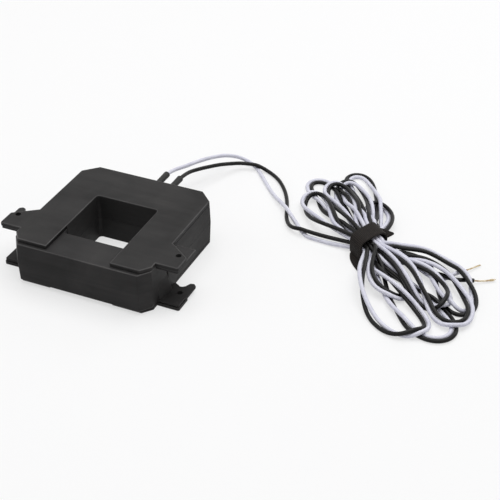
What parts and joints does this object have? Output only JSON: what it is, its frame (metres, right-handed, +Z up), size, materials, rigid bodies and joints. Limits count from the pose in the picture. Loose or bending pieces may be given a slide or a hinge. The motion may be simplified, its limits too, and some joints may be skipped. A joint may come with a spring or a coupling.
{
  "type": "current transformer",
  "caption": "Split-core current transformer: square black case with a slide-off leg, a square window, eared tie holes, and a white and a black lead folded in a tied hank.",
  "frame": {"origin": "centre of the case's footprint, ears included and leads left out, on the surface it stands on", "axes": "+X along the removable leg and across the ears, +Y towards the lead side, +Z up through the window"},
  "size_m": [0.2564, 0.1916, 0.028],
  "materials": {
    "case_plastic": "fine matte moulded charcoal plastic",
    "leg_plastic": "fine matte moulded charcoal plastic",
    "core_steel": "ground strip edges",
    "insulating_tape": "smooth film tape",
    "winding_copper": "enamelled copper wire",
    "board_laminate": "lacquered laminate",
    "chip_body": "moulded chip body",
    "pad_foam": "closed-cell foam",
    "lead_white": "satin extruded insulation, faintly lavender white",
    "lead_black": "satin extruded insulation",
    "shrink_sleeve": "matte shrink tubing",
    "strap_fabric": "napped loop weave, brown-black",
    "tinned_strand": "tinned twisted strands"
  },
  "bodies": {
    "housing": {"housing_top": "case_plastic", "housing_bottom": "case_plastic", "core_long": "core_steel", "core_insulation": "insulating_tape", "winding": "winding_copper", "winding_wrap": "insulating_tape", "coil_ends": "winding_copper", "terminal_board": "board_laminate", "burden_resistor": "chip_body", "clamp_diode": "chip_body", "lead_root_white": "lead_white", "lead_root_black": "lead_black", "sleeve_white": "shrink_sleeve", "sleeve_black": "shrink_sleeve", "lead_white": "lead_white", "lead_black": "lead_black", "lead_hank": "lead_black", "tie_strap": "strap_fabric", "tail_white": "lead_white", "tail_black": "lead_black", "conductor_white": "tinned_strand", "conductor_black": "tinned_strand"},
    "leg": {"leg_top": "leg_plastic", "leg_bottom": "leg_plastic", "core_short": "core_steel", "core_pad": "pad_foam"}
  },
  "joints": [
    {"name": "leg_slide", "type": "slide", "parent": "housing", "child": "leg", "axis": [0, -1, 0], "range_m": [0, 0.045]}
  ]
}
